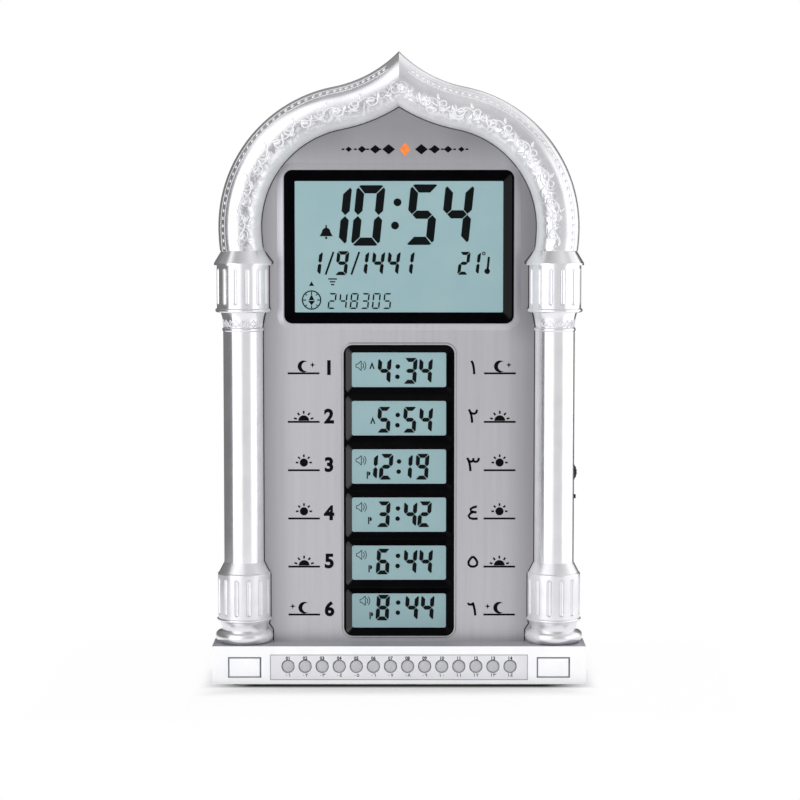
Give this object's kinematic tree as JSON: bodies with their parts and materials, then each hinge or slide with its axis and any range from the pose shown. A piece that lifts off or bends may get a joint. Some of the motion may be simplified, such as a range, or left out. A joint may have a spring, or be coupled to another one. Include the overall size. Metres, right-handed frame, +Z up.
{
  "type": "azan clock",
  "caption": "Arch-shaped digital prayer clock with columns, a wide display, a ladder of small displays, round keys and a loudspeaker behind.",
  "frame": {"origin": "middle of the footprint, on the surface that the clock stands on", "axes": "+Z up, front of the clock towards -Y, +X to the right seen from the front"},
  "size_m": [0.225, 0.0476, 0.3804],
  "materials": {
    "silver_panel": "satin silver paint",
    "silver_trim": "glossy plated silver with embossed relief",
    "silver_base": "bright satin silver",
    "label_film": "satin",
    "key_grey": "satin",
    "black_bezel": "gloss black",
    "display_glass": "matte grey-blue liquid crystal glass",
    "dark_cover": "fine grained black",
    "black_control": "satin black",
    "rubber": "matte",
    "circuit_board": "satin green",
    "chip": "matte black",
    "white_plastic": "matte",
    "steel": "bright zinc plated",
    "paper_cone": "matte felted",
    "cell_wrap": "gloss wrap"
  },
  "bodies": {
    "clock": {"front_casing": "silver_panel", "arch_frame": "silver_trim", "left_column_base": "silver_trim", "right_column_base": "silver_trim", "left_column_shaft": "silver_trim", "right_column_shaft": "silver_trim", "left_capital": "silver_trim", "right_capital": "silver_trim", "plinth": "silver_base", "key_label_plate": "label_film", "key_board": "circuit_board", "key_switches": "chip", "key_board_screws": "steel", "main_display_bezel": "black_bezel", "main_lcd": "display_glass", "main_lcd_holder": "white_plastic", "main_contact_strips": "rubber", "main_board": "circuit_board", "times_display_bezel": "black_bezel", "times_lcd": "display_glass", "times_lcd_holder": "white_plastic", "times_contact_strips": "rubber", "times_board": "circuit_board", "board_parts": "chip", "board_screws": "steel", "rear_cover": "dark_cover", "batteries": "cell_wrap", "battery_contacts": "steel", "speaker_basket": "steel", "speaker_cone": "paper_cone", "speaker_magnet": "steel", "speaker_screws": "steel", "case_screws": "steel", "feet": "rubber", "volume_pot": "black_control", "switch_body": "black_control", "side_board": "circuit_board", "hanger_plate": "steel", "hanger_screws": "steel"},
    "key_01": {"key_01": "key_grey"},
    "key_02": {"key_02": "key_grey"},
    "key_03": {"key_03": "key_grey"},
    "key_04": {"key_04": "key_grey"},
    "key_05": {"key_05": "key_grey"},
    "key_06": {"key_06": "key_grey"},
    "key_07": {"key_07": "key_grey"},
    "key_08": {"key_08": "key_grey"},
    "key_09": {"key_09": "key_grey"},
    "key_10": {"key_10": "key_grey"},
    "key_11": {"key_11": "key_grey"},
    "key_12": {"key_12": "key_grey"},
    "key_13": {"key_13": "key_grey"},
    "key_14": {"key_14": "key_grey"},
    "wheel": {"volume_wheel": "black_control"},
    "slide_switch": {"switch_knob": "black_control"},
    "door": {"battery_door": "dark_cover"}
  },
  "joints": [
    {"name": "key_01_press", "type": "slide", "parent": "clock", "child": "key_01", "axis": [0, 1, 0], "range_m": [0, 0.0008], "stiffness_N_per_m": 1500},
    {"name": "key_02_press", "type": "slide", "parent": "clock", "child": "key_02", "axis": [0, 1, 0], "range_m": [0, 0.0008], "stiffness_N_per_m": 1500},
    {"name": "key_03_press", "type": "slide", "parent": "clock", "child": "key_03", "axis": [0, 1, 0], "range_m": [0, 0.0008], "stiffness_N_per_m": 1500},
    {"name": "key_04_press", "type": "slide", "parent": "clock", "child": "key_04", "axis": [0, 1, 0], "range_m": [0, 0.0008], "stiffness_N_per_m": 1500},
    {"name": "key_05_press", "type": "slide", "parent": "clock", "child": "key_05", "axis": [0, 1, 0], "range_m": [0, 0.0008], "stiffness_N_per_m": 1500},
    {"name": "key_06_press", "type": "slide", "parent": "clock", "child": "key_06", "axis": [0, 1, 0], "range_m": [0, 0.0008], "stiffness_N_per_m": 1500},
    {"name": "key_07_press", "type": "slide", "parent": "clock", "child": "key_07", "axis": [0, 1, 0], "range_m": [0, 0.0008], "stiffness_N_per_m": 1500},
    {"name": "key_08_press", "type": "slide", "parent": "clock", "child": "key_08", "axis": [0, 1, 0], "range_m": [0, 0.0008], "stiffness_N_per_m": 1500},
    {"name": "key_09_press", "type": "slide", "parent": "clock", "child": "key_09", "axis": [0, 1, 0], "range_m": [0, 0.0008], "stiffness_N_per_m": 1500},
    {"name": "key_10_press", "type": "slide", "parent": "clock", "child": "key_10", "axis": [0, 1, 0], "range_m": [0, 0.0008], "stiffness_N_per_m": 1500},
    {"name": "key_11_press", "type": "slide", "parent": "clock", "child": "key_11", "axis": [0, 1, 0], "range_m": [0, 0.0008], "stiffness_N_per_m": 1500},
    {"name": "key_12_press", "type": "slide", "parent": "clock", "child": "key_12", "axis": [0, 1, 0], "range_m": [0, 0.0008], "stiffness_N_per_m": 1500},
    {"name": "key_13_press", "type": "slide", "parent": "clock", "child": "key_13", "axis": [0, 1, 0], "range_m": [0, 0.0008], "stiffness_N_per_m": 1500},
    {"name": "key_14_press", "type": "slide", "parent": "clock", "child": "key_14", "axis": [0, 1, 0], "range_m": [0, 0.0008], "stiffness_N_per_m": 1500},
    {"name": "volume_turn", "type": "hinge", "parent": "clock", "child": "wheel", "pos_m": [0.1011, 0.0078, 0.1262], "axis": [0, 1, 0], "range_deg": [0, 270]},
    {"name": "switch_slide", "type": "slide", "parent": "clock", "child": "slide_switch", "axis": [0, 0, 1], "range_m": [0, 0.002]},
    {"name": "battery_door_hinge", "type": "hinge", "parent": "clock", "child": "door", "pos_m": [0, 0.0206, 0.0473], "axis": [-1, 0, 0], "range_deg": [0, 90]}
  ]
}
